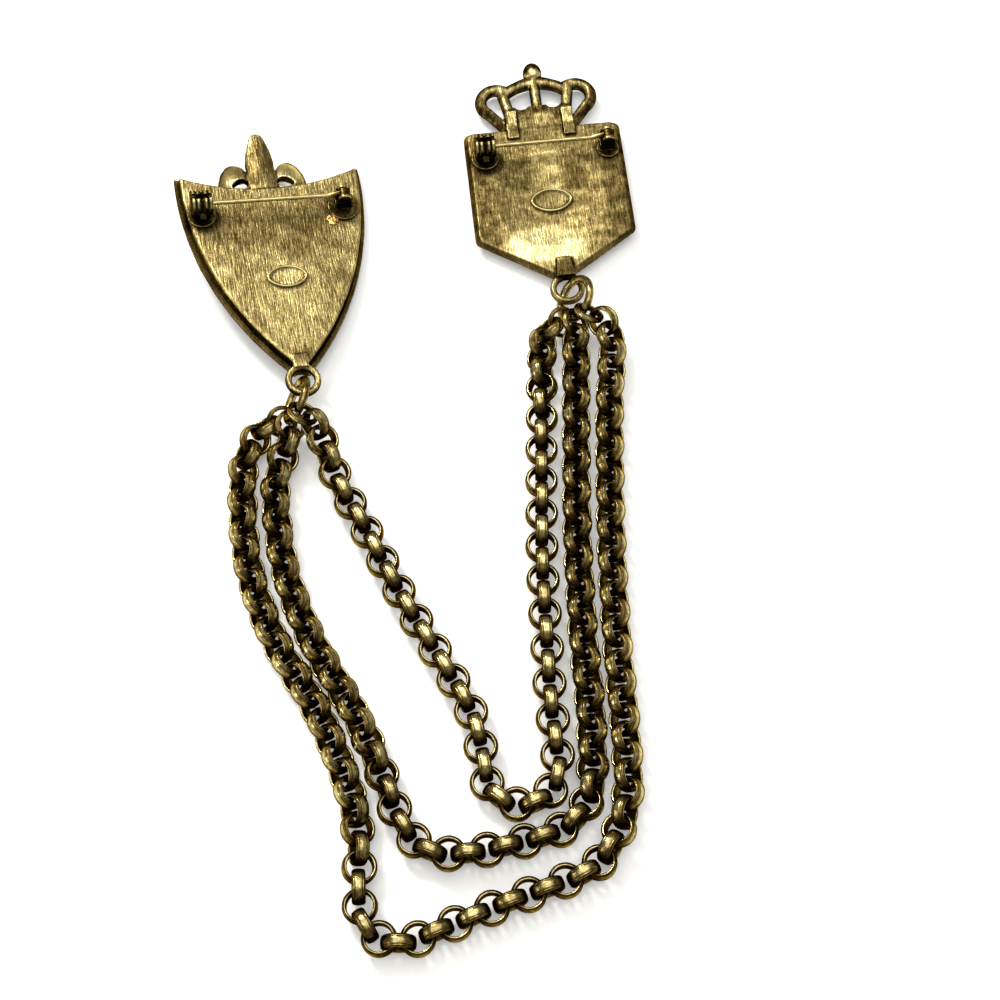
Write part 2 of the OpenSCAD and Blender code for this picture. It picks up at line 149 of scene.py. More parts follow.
def studio():
    for lamp in SOFTBOXES:
        softbox(*lamp)
    world = bpy.data.worlds.new("studio")
    world.use_nodes = True
    shade = world.node_tree.nodes["Background"]
    shade.inputs["Color"].default_value = linear(ROOM)
    shade.inputs["Strength"].default_value = ROOM_STRENGTH
    scene.world = world
    scene.view_settings.view_transform = "Standard"


def table():
    """A matt white table top. It glows a little, which gives the photograph's nearly white ground with its
    faint shadows."""
    data = bpy.data.meshes.new("table")
    corners = [(-TABLE_HALF, -TABLE_HALF, 0), (TABLE_HALF, -TABLE_HALF, 0),
               (TABLE_HALF, TABLE_HALF, 0), (-TABLE_HALF, TABLE_HALF, 0)]
    data.from_pydata(corners, [], [(0, 1, 2, 3)])
    top = bpy.data.objects.new("table", data)
    scene.collection.objects.link(top)
    material, _, shader = new_material("white_table_top")
    shader.inputs["Base Color"].default_value = linear("#f8f8f7")
    shader.inputs["Roughness"].default_value = 0.9
    shader.inputs["Specular IOR Level"].default_value = 0.1
    shader.inputs["Emission Color"].default_value = linear("#ffffff")
    shader.inputs["Emission Strength"].default_value = 0.2
    data.materials.append(material)


# Materials

def linear(code):
    """Linear colour of an sRGB hex value."""
    parts = [int(code[i:i + 2], 16) / 255 for i in (1, 3, 5)]
    return [p / 12.92 if p <= 0.04045 else ((p + 0.055) / 1.055) ** 2.4 for p in parts] + [1.0]


def new_material(name):
    material = bpy.data.materials.new(name)
    material.use_nodes = True
    return material, material.node_tree, material.node_tree.nodes["Principled BSDF"]


def add(tree, kind, settings=None, links=None):
    """Adds a node. Settings and links are keyed by the name or number of a socket, or by a property."""
    node = tree.nodes.new(kind)
    for key, value in (settings or {}).items():
        if isinstance(key, int) or key in node.inputs:
            node.inputs[key].default_value = value
        else:
            setattr(node, key, value)
    for key, source in (links or {}).items():
        tree.links.new(source, node.inputs[key])
    return node


# Nearly all values of Blender's noise lie between these two
NOISE_LOW = 0.32
NOISE_HIGH = 0.68
# How far a seed of 1 moves a pattern along each axis, in marks
SEED_MOVE = (1.0, 1.7, 0.6)


def marks(tree, badge, sizes_mm, low, high, seed, detail=3.0, rough=0.6):
    """Random marks of a real size across, up and out of a badge, as a value between two amounts."""
    place = add(tree, "ShaderNodeTexCoord").outputs["Object"]
    local = add(tree, "ShaderNodeMapping", {"vector_type": "TEXTURE", "Location": badge.place,
                                            "Rotation": badge.angles, "Scale": [s * MM for s in sizes_mm]},
                {"Vector": place})
    moved = add(tree, "ShaderNodeVectorMath", {"operation": "ADD", 1: [seed * move for move in SEED_MOVE]},
                {0: local.outputs["Vector"]})
    texture = add(tree, "ShaderNodeTexNoise", {"Scale": 1.0, "Detail": detail, "Roughness": rough},
                  {"Vector": moved.outputs["Vector"]})
    spread = add(tree, "ShaderNodeMapRange",
                 {"From Min": NOISE_LOW, "From Max": NOISE_HIGH, "To Min": low, "To Max": high},
                 {"Value": texture.outputs["Fac"]})
    return spread.outputs["Result"]


# Antique gold plate, from the painted shade in a hollow to a rubbed edge
ANTIQUE_GOLD = [(0.0, "#0f0b06"), (0.2, "#2c230f"), (0.4, "#594b29"), (0.55, "#7d6d44"), (0.7, "#a99863"),
                (0.85, "#d1c283"), (1.0, "#efe3a6")]
# The same plate on the chain, paler where it is polished
CHAIN_GOLD = [(0.0, "#2a1f0f"), (0.2, "#43351a"), (0.4, "#63522c"), (0.55, "#7f6e42"), (0.7, "#a69561"),
              (0.85, "#ccbc80"), (1.0, "#eee0aa")]
# Tarnished solder, from its dark skin to its orange-gold crests
SOLDER = [(0.0, "#2c1c08"), (0.4, "#8a6426"), (0.7, "#cb9a48"), (1.0, "#f2d48c")]
# Old plate does not flash white at a glancing angle
EDGE_TINT = "#8a7a50"
# Tones at which plate is dullest and glossiest
DULL_TONE = 0.2
GLOSSY_TONE = 0.9


def gilded(tree, shader, tone_marks, relief, depth_mm, dull, glossy, colours=ANTIQUE_GOLD):
    """Plated metal whose colour and gloss follow its tone: the mesh's own tone, which holds wear, painted
    shade and painted highlights, and the marks given. The tone is 0 in the painted shade of a hollow and 1
    where the plate is rubbed bright or painted with a highlight. Dull and glossy are roughnesses."""
    shader.inputs["Metallic"].default_value = 1.0
    shader.inputs["Specular Tint"].default_value = linear(EDGE_TINT)
    full_tone = add(tree, "ShaderNodeAttribute", {"attribute_name": "tone"}).outputs["Fac"]
    for more in tone_marks:
        full_tone = add(tree, "ShaderNodeMath", {"operation": "ADD"}, {0: full_tone, 1: more}).outputs["Value"]
    colour = add(tree, "ShaderNodeValToRGB", links={"Fac": full_tone})
    ramp = colour.color_ramp
    while len(ramp.elements) < len(colours):
        ramp.elements.new(0.5)
    for element, (at, code) in zip(ramp.elements, colours):
        element.position = at
        element.color = linear(code)
    tree.links.new(colour.outputs["Color"], shader.inputs["Base Color"])
    gloss = add(tree, "ShaderNodeMapRange",
                {"From Min": DULL_TONE, "From Max": GLOSSY_TONE, "To Min": dull, "To Max": glossy},
                {"Value": full_tone})
    tree.links.new(gloss.outputs["Result"], shader.inputs["Roughness"])
    bump = add(tree, "ShaderNodeBump", {"Distance": depth_mm * MM, "Strength": 1.0}, {"Height": relief})
    tree.links.new(bump.outputs["Normal"], shader.inputs["Normal"])


def linished_gold(name, badge, hair, smudge, smudge_mm):
    """Gold plate over a cast back that was linished along the badge: fine hair lines run up and down its
    worked faces, brown smudges lie between them, and rubbed edges shine. Real hair lines are too fine to
    show, so these are drawn 0.25 mm wide."""
    material, tree, shader = new_material(name)
    hairs = marks(tree, badge, (0.25, 2.8, 2.8), -hair, hair, seed=1.0, detail=2.0)
    worked = add(tree, "ShaderNodeAttribute", {"attribute_name": "worked"}).outputs["Fac"]
    hairs = add(tree, "ShaderNodeMath", {"operation": "MULTIPLY"}, {0: hairs, 1: worked}).outputs["Value"]
    smudges = marks(tree, badge, smudge_mm, -smudge, smudge, seed=4.0)
    pits = marks(tree, badge, (0.4, 0.5, 0.4), 0.06, -0.12, seed=9.0)
    gilded(tree, shader, (hairs, smudges, pits), hairs, depth_mm=0.12, dull=0.5, glossy=0.27)
    return material


def belcher_gold():
    """Antique gold plate on rolled belcher links: polished crowns with fine drawing lines round them and a
    painted highlight, and painted shade, dark brown, in the hollows and where one link rubs in the next. The
    map named band counts millimetres round a link and steps across its section."""
    material, tree, shader = new_material("antique_gold_belcher_plate")
    band = add(tree, "ShaderNodeUVMap", {"uv_map": "band"}).outputs["UV"]
    along = add(tree, "ShaderNodeMapping", {"Scale": (0.9, 7.0, 1.0)}, {"Vector": band}).outputs["Vector"]
    texture = add(tree, "ShaderNodeTexNoise", {"Scale": 1.0, "Detail": 2.0, "Roughness": 0.6},
                  {"Vector": along})
    lines = add(tree, "ShaderNodeMapRange",
                {"From Min": NOISE_LOW, "From Max": NOISE_HIGH, "To Min": -0.12, "To Max": 0.12},
                {"Value": texture.outputs["Fac"]}).outputs["Result"]
    patches = marks(tree, LYING, (0.7, 0.7, 0.7), -0.13, 0.13, seed=2.0, rough=0.7)
    gilded(tree, shader, (lines, patches), patches, depth_mm=0.1, dull=0.3, glossy=0.1, colours=CHAIN_GOLD)
    return material


def soft_solder():
    """Soft solder that ran out beside the hinge: lumpy, orange-gold, glossy on its crests."""
    material, tree, shader = new_material("tarnished_soft_solder")
    crust = marks(tree, LYING, (0.5, 0.5, 0.5), -0.25, 0.25, seed=11.0)
    gilded(tree, shader, (crust,), crust, depth_mm=0.1, dull=0.4, glossy=0.2, colours=SOLDER)
    return material


def ring_gold():
    """Antique gold plate on drawn wire rings: smooth, olive, with brown specks."""
    material, tree, shader = new_material("antique_gold_ring_wire")
    patches = marks(tree, LYING, (1.3, 1.3, 1.3), -0.2, 0.2, seed=6.0)
    gilded(tree, shader, (patches,), patches, depth_mm=0.08, dull=0.26, glossy=0.12, colours=CHAIN_GOLD)
    return material


def pin_wire_gold(name, badge):
    """Pale gold plate on drawn spring wire: smooth and bright, with a few brown specks, and darkened by
    painted shade where the wire turns into its eye, up to 2.8 mm from the rivet."""
    material, tree, shader = new_material(name)
    specks = marks(tree, LYING, (1.6, 0.5, 0.5), 0.7, 0.92, seed=3.0)
    place = add(tree, "ShaderNodeTexCoord").outputs["Object"]
    eye = badge.at(badge.hinge[0], badge.hinge[1], badge.back + PIN_RISE)
    away = add(tree, "ShaderNodeVectorMath", {"operation": "DISTANCE", 1: eye}, {0: place}).outputs["Value"]
    # Painted shade round the hinge's eye
    painted_shade = add(tree, "ShaderNodeMapRange",
                {"From Min": 1.0 * MM, "From Max": 2.8 * MM, "To Min": -0.6, "To Max": 0.0},
                {"Value": away}).outputs["Result"]
    gilded(tree, shader, (specks, painted_shade), specks, depth_mm=0.02, dull=0.35, glossy=0.25)
    return material


def darkened_catch():
    """Stamped catch and hinge whose plate has gone brown-black, apart from its rubbed edges and the painted
    highlights on its ribs and on the hinge's top.
    """
    material, tree, shader = new_material("darkened_stamped_catch")
    specks = marks(tree, LYING, (0.6, 0.6, 0.6), -0.15, 0.15, seed=7.0)
    gilded(tree, shader, (specks,), specks, depth_mm=0.03, dull=0.34, glossy=0.22)
    return material


def paint(node, material):
    nodes[node].data.materials.clear()
    nodes[node].data.materials.append(material)


# Meshes

def rise(values, low, high):
    """Smooth rise from 0 to 1 between two values."""
    t = np.clip((values - low) / (high - low), 0.0, 1.0)
    return t * t * (3 - 2 * t)


def set_layer(data, layer, values):
    """Gives a mesh's points a value each, which its material reads by the layer's name."""
    data.attributes.new(layer, "FLOAT", "POINT").data.foreach_set("value", np.clip(values, 0.0, 1.2))


def new_piece(name, data, material, body, replaced):
    """Puts a finished mesh in the scene as a piece that rides on a body."""
    piece = bpy.data.objects.new(name, data)
    data.materials.append(material)
    data.shade_smooth()
    scene.collection.objects.link(piece)
    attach(piece, body)
    if replaced:
        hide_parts(replaced)


def hoop_mesh(name, points, tones, around, rows):
    """A mesh of closed hoops, each of so many rows of points round its section."""
    faces = []
    for first in range(0, len(points), rows * around):
        for i in range(rows):
            here, there = first + i * around, first + (i + 1) % rows * around
            for k in range(around):
                after = (k + 1) % around
                faces.append((here + k, there + k, there + after, here + after))
    data = bpy.data.meshes.new(name)
    data.from_pydata([tuple(point) for point in points], [], faces)
    set_layer(data, "tone", tones)
    return data


def block(badge, low, high):
    """A cutting block between two corners in a badge's millimetres."""
    data = bpy.data.meshes.new("block")
    shape = bmesh.new()
    corners = []
    for i in range(8):
        x, y, z = ((low, high)[(i >> axis) & 1][axis] for axis in range(3))
        corners.append(shape.verts.new(badge.at(x, y, z)))
    for face in ((0, 2, 3, 1), (4, 5, 7, 6), (0, 1, 5, 4), (2, 6, 7, 3), (0, 4, 6, 2), (1, 3, 7, 5)):
        shape.faces.new([corners[i] for i in face])
    bmesh.ops.recalc_face_normals(shape, faces=shape.faces)
    shape.to_mesh(data)
    shape.free()
    cutter = bpy.data.objects.new("block", data)
    scene.collection.objects.link(cutter)
    return cutter


def applied(thing):
    """Puts a thing's modifiers into its mesh."""
    graph = bpy.context.evaluated_depsgraph_get()
    data = bpy.data.meshes.new_from_object(thing.evaluated_get(graph))
    thing.modifiers.clear()
    thing.data = data


def neighbour_mean(points, edges):
    """The mean of each point's neighbours."""
    ends = np.concatenate([edges[:, 0], edges[:, 1]])
    others = np.concatenate([edges[:, 1], edges[:, 0]])
    counts = np.maximum(np.bincount(ends, minlength=len(points)), 1)
    sums = [np.bincount(ends, points[others, axis], len(points)) for axis in range(3)]
    return np.stack(sums, 1) / counts[:, None]


# Castings and findings: the CAD's solids with the soft edges of cast and stamped metal

# A pull towards the neighbours and a slightly stronger push back, which take off the voxels' steps and keep
# the size
SMOOTHING = (0.5, -0.52)
# Rounds of smoothing against which small and broad edges stand proud, and the share of the broad ones
SMALL_EDGE = 3
BROAD_EDGE = 14
BROAD_SHARE = 0.6
# A cast loop gets stouter by this much, from the edge of its hole to its own outer edge, below its neck
LOOP_GROWTH = 0.2
LOOP_INNER = (2.5, 2.85)
LOOP_OUTER = (3.2, 3.7)
LOOP_NECK = 2.6
# Share of a patch's reach that it fills before it fades
PATCH_CORE = 0.45
# Facing is 1 where a surface lies level and 0 on an upright wall, which it stops being between these two
WALL_FACING = (0.35, 0.75)
# Painted shade and dark reflection by the catch: its middle to the right of the catch and above it, and
# its reach
CATCH_PAINTED_SHADE = (0.2, -1.2, 4.2)
# How far the middle of the painted shade by the hinge lies below the rivet
HINGE_SHADE_DROP = 0.8


class Cast:
    """A fine copy of a CAD node, or of what lies of it inside or outside some boxes, with softened edges.
    It knows how far each point stands proud of its surroundings, for the wear on its edges and the painted
    shade in its hollows."""

    def __init__(self, badge, node, voxel_mm, rounds, inside=None, outside=()):
        data = nodes[node].data.copy()
        shape = bmesh.new()
        shape.from_mesh(data)
        bmesh.ops.remove_doubles(shape, verts=shape.verts, dist=0.002 * MM)
        shape.to_mesh(data)
        shape.free()
        data.materials.clear()
        thing = bpy.data.objects.new(node + "_copy", data)
        scene.collection.objects.link(thing)
        for operation, boxes in (("INTERSECT", [inside] if inside else []), ("DIFFERENCE", outside)):
            for low, high in boxes:
                cutter = block(badge, low, high)
                cut = thing.modifiers.new("cut", "BOOLEAN")
                cut.operation = operation
                cut.object = cutter
                cut.solver = "EXACT"
                applied(thing)
                bpy.data.objects.remove(cutter)
        remesh = thing.modifiers.new("remesh", "REMESH")
        remesh.mode = "VOXEL"
        remesh.voxel_size = voxel_mm * MM
        applied(thing)
        self.badge = badge
        self.data = thing.data
        bpy.data.objects.remove(thing)
        self.points = np.empty(len(self.data.vertices) * 3)
        self.data.vertices.foreach_get("co", self.points)
        self.points = self.points.reshape(-1, 3)
        edges = np.empty(len(self.data.edges) * 2, int)
        self.data.edges.foreach_get("vertices", edges)
        self.edges = edges.reshape(-1, 2)
        for pull in SMOOTHING * rounds:
            self.points += pull * (neighbour_mean(self.points, self.edges) - self.points)
        self.update()
        normals = np.empty(len(self.data.vertices) * 3)
        self.data.vertex_normals.foreach_get("vector", normals)
        self.normals = normals.reshape(-1, 3)
        self.proud = self.standing(SMALL_EDGE) + BROAD_SHARE * self.standing(BROAD_EDGE)
        self.local = badge.local(self.points)
        # Each point's normal along the badge's own axes
        self.slope = badge.local(self.points + self.normals * MM) - self.local
        self.facing = self.slope[:, 2]

    def update(self):
        """Puts the points into the mesh."""
        self.data.vertices.foreach_set("co", self.points.ravel())
        self.data.update()

    def move(self, heights_mm):
        """Moves the points along their normals."""
        self.points += self.normals * (heights_mm * MM)[:, None]
        self.update()

    def standing(self, rounds):
        """Millimetres by which each point stands out of its smoothed surroundings."""
        smooth = self.points.copy()
        for _ in range(rounds):
            smooth += 0.5 * (neighbour_mean(smooth, self.edges) - smooth)
        return ((self.points - smooth) * self.normals).sum(1) / MM

    def stretch(self, x, y):
        """Moves the points to new places across and up the badge."""
        self.local[:, 0] = x
        self.local[:, 1] = y
        matrix = np.array(self.badge.matrix)
        self.points = self.local * MM @ matrix[:3, :3].T + matrix[:3, 3]
        self.update()

    def soften(self, where, rounds):
        """Smooths the surface where a share is 1, as a caster's scraper would."""
        for _ in range(rounds):
            self.points += 0.5 * where[:, None] * (neighbour_mean(self.points, self.edges) - self.points)
        self.update()

    def thicken_loop(self, x, y):
        """Makes the cast loop round a place as stout as the real one, away from its hole."""
        out = np.hypot(self.local[:, 0] - x, self.local[:, 1] - y)
        ring = rise(out, *LOOP_INNER) * (1 - rise(out, *LOOP_OUTER)) * (self.local[:, 1] < y + LOOP_NECK)
        self.move(LOOP_GROWTH * ring)

    def ripple(self, wide, high, seed):
        """Smooth random heights of a hand-worked surface, from -1 to 1."""
        places = [Vector((x / wide, y / high, z / high + seed)) for x, y, z in self.local]
        return np.array([noise.noise(place) for place in places])

    def towards(self, x, y):
        """How far each point's normal leans towards a place on the badge, from -1 to 1."""
        way = np.stack([x - self.local[:, 0], y - self.local[:, 1]], 1)
        return (self.slope[:, :2] * way).sum(1) / np.maximum(np.hypot(*way.T), 0.01)

    def near(self, x, y, reach):
        """1 at a place on the badge's back, falling to 0 at a distance."""
        away = np.hypot(self.local[:, 0] - x, self.local[:, 1] - y)
        return 1 - rise(away, reach * PATCH_CORE, reach)

    def patches(self, places):
        """Tones of paler and darker patches, some of them painted light, from rows of place, reach and tone.
        """
        return sum(tone * self.near(x, y, reach) for x, y, reach, tone in places)

    def painted_shade_round_findings(self, hinge_reach):
        """1 in the painted shade and dark reflection that lie round the feet of the catch and of the hinge.
        """
        (cx, cy), (hx, hy) = self.badge.catch, self.badge.hinge
        right, up, reach = CATCH_PAINTED_SHADE
        by_catch = self.near(cx + right, cy + up, reach)
        return np.maximum(by_catch, self.near(hx, hy - HINGE_SHADE_DROP, hinge_reach))

    def steep(self):
        """1 on walls that stand up from the plate."""
        return 1 - rise(np.abs(self.facing), *WALL_FACING)

    def finish(self, name, tones, material, body, node):
        set_layer(self.data, "tone", tones)
        self.data.name = name
        new_piece(name, self.data, material, body, node)


# Fine enough for the rims' soft edges
CASTING_VOXEL = 0.2
CASTING_ROUNDS = 4
# Heights above the back at which a casting's findings are cut off, and at which those pieces begin, so that
# they overlap
CUT_ABOVE = 0.03
FINDING_ABOVE = 0.01
# Tones that a casting loses in its hollows, as painted shade, and gains on its edges come from this span
# of standing proud
CAST_PROUD = (-0.2, 0.12)
# Painted shade that a casting's hidden underside gets, as tone that it loses
UNDERSIDE_SHADE = 0.5

# Middle of the fleur-de-lis across the shield, by what share the foot of its stem is widened, and by what
# share its side leaves are drawn taller, from which height
FLEUR_X = -1.2
STEM_GROWTH = 0.35
LEAF_GROWTH = 0.5
LEAF_Y = 44.2
# Middle of the shield's cast loop
SHIELD_LOOP = (-0.3, -2.0)
# Paler patches of the shield's back, below its plaque and on it, which are painted light, and a paler
# patch of the fleur-de-lis's right leaf.
# Columns: place on the badge, reach and tone
SHIELD_PAINTED_LIGHT_PATCHES = [(0, 13, 9, 0.05), (0, 20, 4.5, 0.1)]
LEAF_PATCHES = [(4.2, 44.6, 4, 0.18)]


def shield_casting(material):
    """The shield with its rim, fleur-de-lis and loop. Its back is pale, with paler patches of painted light
    and a darker band of painted shade between the findings, its outer wall is darkened by painted shade
    towards the tip, and the flange of its front is browner than its back."""
    boxes = SHIELD.findings(CUT_ABOVE).values()
    cast = Cast(SHIELD, "shield_body", CASTING_VOXEL, CASTING_ROUNDS, outside=boxes)
    x, y, _ = cast.local.T.copy()
    beside = np.abs(x - FLEUR_X)
    stem = (1 - rise(beside, 2.0, 4.0)) * (1 - rise(y, 42.5, 47)) * rise(y, 40.8, 41.4)
    side_leaves = rise(beside, 2.4, 3.8) * (1 - rise(beside, 9.4, 10.8))
    wider = STEM_GROWTH * (x - FLEUR_X) * stem
    taller = LEAF_GROWTH * np.maximum(y - LEAF_Y, 0) * side_leaves
    cast.stretch(x + wider, y + taller)
    cast.move(0.05 * cast.ripple(3.0, 4.0, 2.0))
    cast.thicken_loop(*SHIELD_LOOP)
    x, y, z = cast.local.T
    # Where each tone belongs, in the badge's millimetres and by the way that the surface faces
    flange = 1 - rise(z, 1.2, 1.8)
    wall = cast.steep() * (1 - flange) * (1 - rise(z, 3.1, 3.4))
    back = rise(cast.facing, 0.8, 0.95) * rise(z, 3.2, 3.4)
    painted_shade_band = back * rise(y, 24, 30) * (1 - rise(y, 35, 39)) * (1 - rise(np.abs(x), 10, 15))
    tip = back * (1 - rise(y, 3, 6))
    leaves = rise(y, 41.6, 42.6) * (1 - rise(beside, 9.6, 10.6))
    leaf_walls = 1 - rise(cast.facing, 0.4, 0.85)
    # Tones, from a common one, the wear of edges and the painted shade of hollows and walls, to the painted
    # light and shade and other tones of single places
    tones = 0.61 + 2.2 * np.clip(cast.proud, *CAST_PROUD)
    tones -= 0.27 * flange
    # Painted shade on the outer wall, deeper towards the tip
    tones -= (0.5 - 0.22 * rise(y, 8, 24)) * wall
    # Painted shade in a band between the findings
    tones -= 0.11 * painted_shade_band
    tones -= 0.06 * tip
    # Painted light in paler patches below the plaque and on it
    tones += back * cast.patches(SHIELD_PAINTED_LIGHT_PATCHES)
    # The leaves' walls are darkened by painted shade
    tones += leaves * (0.08 * cast.ripple(1.2, 2.0, 6.0) - 0.14 - 0.2 * leaf_walls)
    tones += leaves * (0.21 * rise(beside, 2.4, 3.2) + cast.patches(LEAF_PATCHES))
    # Painted shade and dark reflection round the feet of the catch and the hinge
    tones -= 0.42 * cast.painted_shade_round_findings(4.2)
    # Painted shade on the hidden underside
    tones -= UNDERSIDE_SHADE * (1 - rise(z, -0.3, 0.3))
    set_layer(cast.data, "worked", 0.2 + 0.8 * rise(z, 1.8, 3.2) * rise(cast.facing, 0.3, 0.8))
    cast.finish("shield_casting", tones, material, ROOT, "shield_body")


# Places on the crown. The inner edges of its arches face the middle of the openings, and those of its side
# lobes face the lobes' own middles. The side struts stand this far out at a height, and lean out above it
OPENINGS_AT = (0, 38.3)
LOBES_AT = (7.95, 43.75)
BEAD_AT = (0, 49.2)
STRUT_X = 5.5
STRUT_Y = 39.6
STRUT_LEAN = 0.186


def wire_tones(cast, crackle):
    """Tones of the crown's wires: outer slopes darkened by painted shade, painted highlights on the edges
    along the openings that face up and on the upward faces of the upright struts, and a paler bead."""
    x, y, _ = cast.local.T
    inwards = cast.towards(*OPENINGS_AT)
    for side in (-1, 1):
        lobe = rise(side * x, 6.6, 7.2)
        inwards = inwards * (1 - lobe) + cast.towards(side * LOBES_AT[0], LOBES_AT[1]) * lobe
    edge = rise(inwards, -0.05, 0.2) * (1 - rise(inwards, 0.6, 0.9)) * rise(cast.facing, 0.1, 0.4)
    from_strut = np.minimum(np.abs(x), np.abs(np.abs(x) - STRUT_X - STRUT_LEAN * (y - STRUT_Y)))
    face = (1 - rise(from_strut, 0.7, 1.1)) * (1 - rise(y, 47.4, 48.6)) * rise(cast.facing, 0.6, 0.9)
    # The low base is painted shade on the outer slopes; edge and face are painted highlights
    return 0.32 + 0.34 * np.maximum(edge, face) + 0.2 * crackle + 0.25 * cast.near(*BEAD_AT, 1.3)


# Middle of the crowned badge's cast loop
CROWN_LOOP = (0.7, -1.2)
# How much the bead on the crown grows, and where
BEAD_GROWTH = 0.2
BEAD_Y = (48.0, 48.9)
# Rounds that melt the step where the crown's base runs into the plate
FOOT_ROUNDS = 70
# Middle and half sizes of the dished hollow below the plaque, bright from polish and a painted highlight
DISH_AT = (-2, 8.5)
DISH_HALF = (8.5, 5)
# Patches of the crowned badge's plate, pale below and above the plaque and brown beside them, and the pale
# middle of the crown's base. Columns: place on the badge, reach and tone
PLATE_PATCHES = [(-1, 9, 12, 0.08), (0, 24, 4.5, 0.12), (0, 29.5, 4, 0.12), (-6, 25, 5, -0.12),
                 (5, 24, 4, -0.12)]
BASE_PATCHES = [(0, 37.6, 4, 0.12)]


def crown_casting(material):
    """The five-sided badge with its pierced crown and loop. Its plate is uneven and brown at the margins,
    with a hollow near the tip that is bright from polish and a painted highlight, its walls darkened by
    painted shade, and the crown's base is crackled between two rubbed bars, with painted shade under the
    arches and painted light in the crease at its foot."""
    boxes = CROWN.findings(CUT_ABOVE).values()
    cast = Cast(CROWN, "crown_body", CASTING_VOXEL, CASTING_ROUNDS, outside=boxes)
    cast.thicken_loop(*CROWN_LOOP)
    x, y, z = cast.local.T
    cast.move(BEAD_GROWTH * rise(y, *BEAD_Y))
    foot = rise(y, 33.9, 34.7) * (1 - rise(y, 36.6, 37.4)) * (1 - rise(np.abs(x), 3.7, 4.3))
    cast.soften(foot, FOOT_ROUNDS)
    plate = rise(cast.facing, 0.7, 0.95) * rise(y, 3, 6) * (1 - rise(y, 31, 33))
    from_dish = np.hypot((x - DISH_AT[0]) / DISH_HALF[0], (y - DISH_AT[1]) / DISH_HALF[1])
    dish = (1 - rise(from_dish, 0.7, 1.1)) * plate
    cast.move(cast.ripple(2.8, 2.0, 5.0) * (0.02 + (0.1 - 0.06 * dish) * plate))
    # Where each tone belongs, as on the shield
    margins = rise(np.abs(x), 9.8, 12.4) * (y < 34)
    loop_tab = (1 - rise(np.abs(x - CROWN_LOOP[0]), 1.6, 2.1)) * (1 - rise(y, 5.0, 5.5)) * rise(y, -0.5, 0.3)
    wires = np.maximum(rise(y, 41.0, 41.8), rise(np.abs(x), 6.2, 6.8) * rise(y, 36.6, 37.2))
    base = rise(y, 35.8, 37) * (1 - wires)
    bars = rise(z, 1.9, 2.2)
    under_arch = rise(y, 39, 40.4) * (1 - bars)
    crackle = cast.ripple(0.8, 1.0, 7.0)
    # Tones, in the same order
    tones = 0.53 + 1.6 * np.clip(cast.proud, *CAST_PROUD)
    # Painted shade on the walls
    tones -= 0.16 * cast.steep()
    # Polish and a painted highlight in the hollow below the plaque
    tones += 0.3 * dish
    tones += plate * cast.patches(PLATE_PATCHES)
    tones -= 0.11 * margins
    tones -= 0.17 * loop_tab
    tones = tones * (1 - wires) + wire_tones(cast, crackle) * wires
    # under_arch is painted shade below the arches
    tones += base * (0.22 * crackle - 0.03 - 0.22 * under_arch + 0.22 * bars + cast.patches(BASE_PATCHES))
    # Painted light that lifts the shade in the crease at the crown's foot
    tones = np.maximum(tones, 0.52 * foot)
    # Painted shade and dark reflection round the feet of the catch and the hinge
    tones -= 0.4 * cast.painted_shade_round_findings(3.4)
    # Painted shade on the hidden underside
    tones -= UNDERSIDE_SHADE * (1 - rise(z, -0.9, -0.3))
    set_layer(cast.data, "worked", 0.2 + 0.8 * rise(cast.facing, 0.3, 0.8))
    cast.finish("crown_casting", tones, material, ROOT, "crown_body")


# Fine enough for the catch's ribs
FINDING_VOXEL = 0.085
FINDING_ROUNDS = 3
# Stamped edges are sharper than cast ones, so their tone follows a smaller span of standing proud, and more
# steeply: paler on edges and darker, as painted shade, in hollows
STAMPED_PROUD = (-0.05, 0.1)
STAMPED_WEAR_AND_SHADE = 5.0
# Middles of the catch's ribs and cheeks, to each side of its own middle
RIB_AT = (0.7, 1.6)
# The painted highlight on a rib: how it falls off beside the crest, and the degrees round the barrel where
# it comes and goes
CREST = (0.06, 0.3)
HIGHLIGHT_COMES = (10, 40)
HIGHLIGHT_GOES = (140, 170)
# Radius at which the ribs' outside begins, and the height and reach of the slot's walls, whose shade is
# painted over with light
RIB_OUTSIDE = (1.85, 2.05)
SLOT_UP = (0.7, 1.1)
SLOT_BESIDE = (0.7, 0.9)


def painted_rib_highlight(cast, badge):
    """Painted highlight on the crests of the catch's ribs, all over the barrel's upper half, which also
    paints light over the shaded walls of the slot.
    """
    across = np.abs(cast.local[:, 0] - badge.catch[0])
    back = cast.local[:, 1] - badge.catch[1]
    up = cast.local[:, 2] - badge.back - CATCH_RISE
    turn = np.degrees(np.arctan2(up, -back))
    crest = np.maximum(*[1 - rise(np.abs(across - at), *CREST) for at in RIB_AT])
    outside = rise(np.hypot(back, up), *RIB_OUTSIDE)
    slot_wall = rise(up, *SLOT_UP) * (1 - rise(np.abs(back), *SLOT_BESIDE))
    upper = rise(turn, *HIGHLIGHT_COMES) * (1 - rise(turn, *HIGHLIGHT_GOES))
    return 0.66 * crest * upper * np.maximum(outside, slot_wall)


